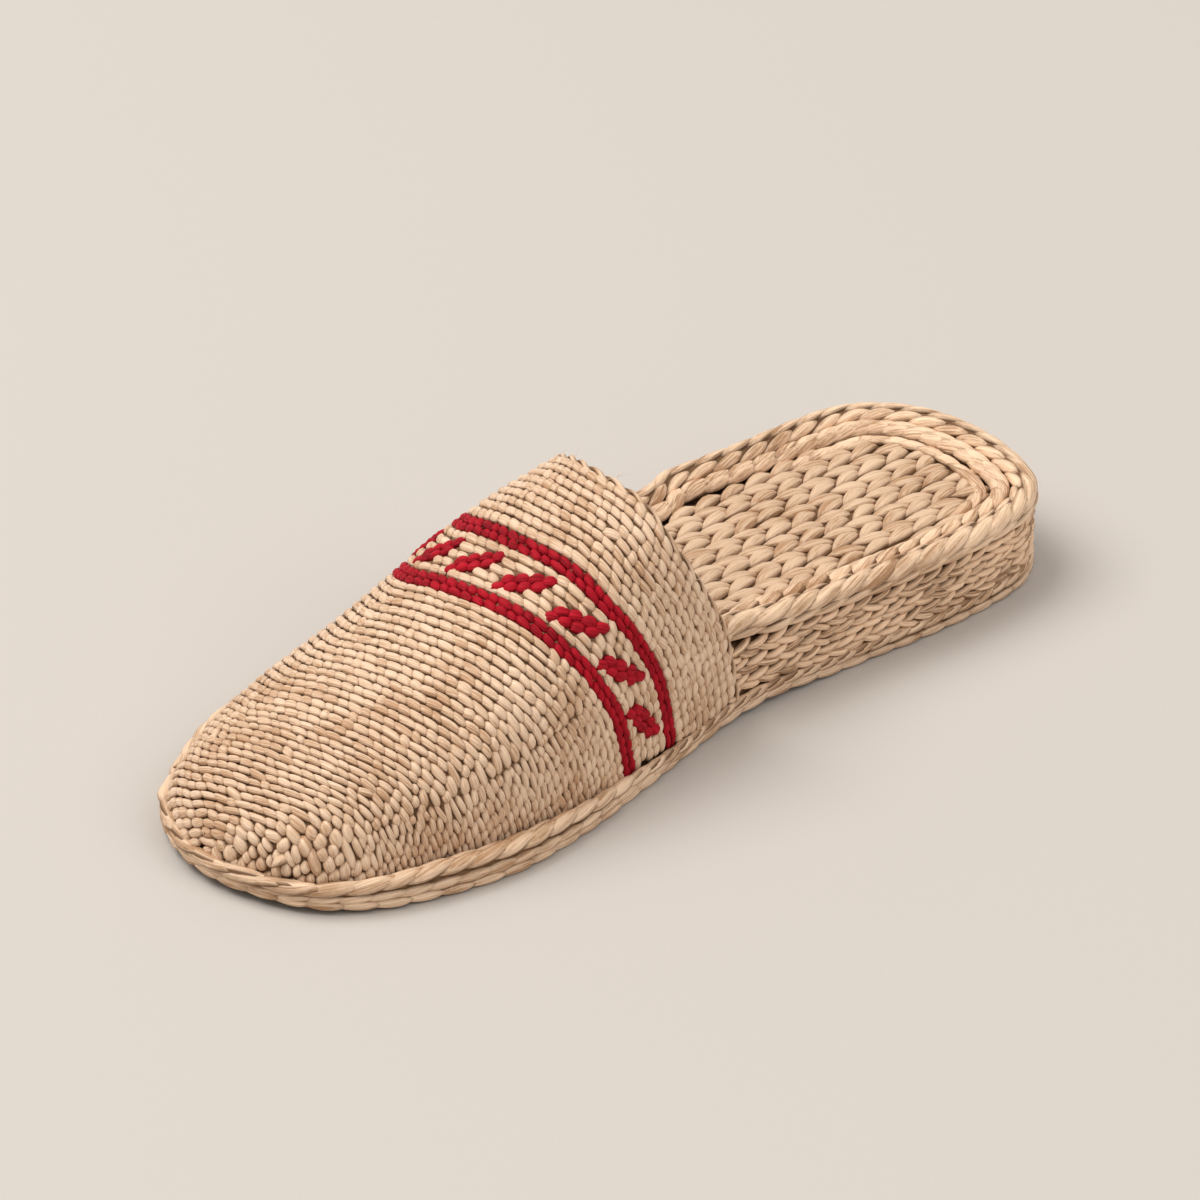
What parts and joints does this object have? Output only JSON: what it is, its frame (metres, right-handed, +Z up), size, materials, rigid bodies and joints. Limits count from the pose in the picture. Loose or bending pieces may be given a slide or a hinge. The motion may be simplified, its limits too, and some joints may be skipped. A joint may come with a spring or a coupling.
{
  "type": "straw slipper",
  "caption": "Open-backed straw slipper for the right foot, with a woven hollow upper, a plaited footbed and a thick straw sole.",
  "frame": {"origin": "middle of the shoe's length and width, on the floor", "axes": "+X from heel to toe, +Y to the medial side, +Z up from the floor"},
  "size_m": [0.2656, 0.1044, 0.0664],
  "materials": {
    "sole_straw": "coarse plaited straw, satin strands",
    "side_straw": "twined straw cord",
    "footbed_straw": "flat plaited straw",
    "rim_straw": "thick plaited straw, satin strands",
    "upper_straw": "fine twined straw with dyed red rows"
  },
  "bodies": {
    "root": {"outsole": "sole_straw", "midsole": "side_straw", "insole": "footbed_straw", "inner_plait": "footbed_straw", "rim_plait": "rim_straw", "welt_plait": "sole_straw", "upper": "upper_straw"}
  },
  "joints": []
}
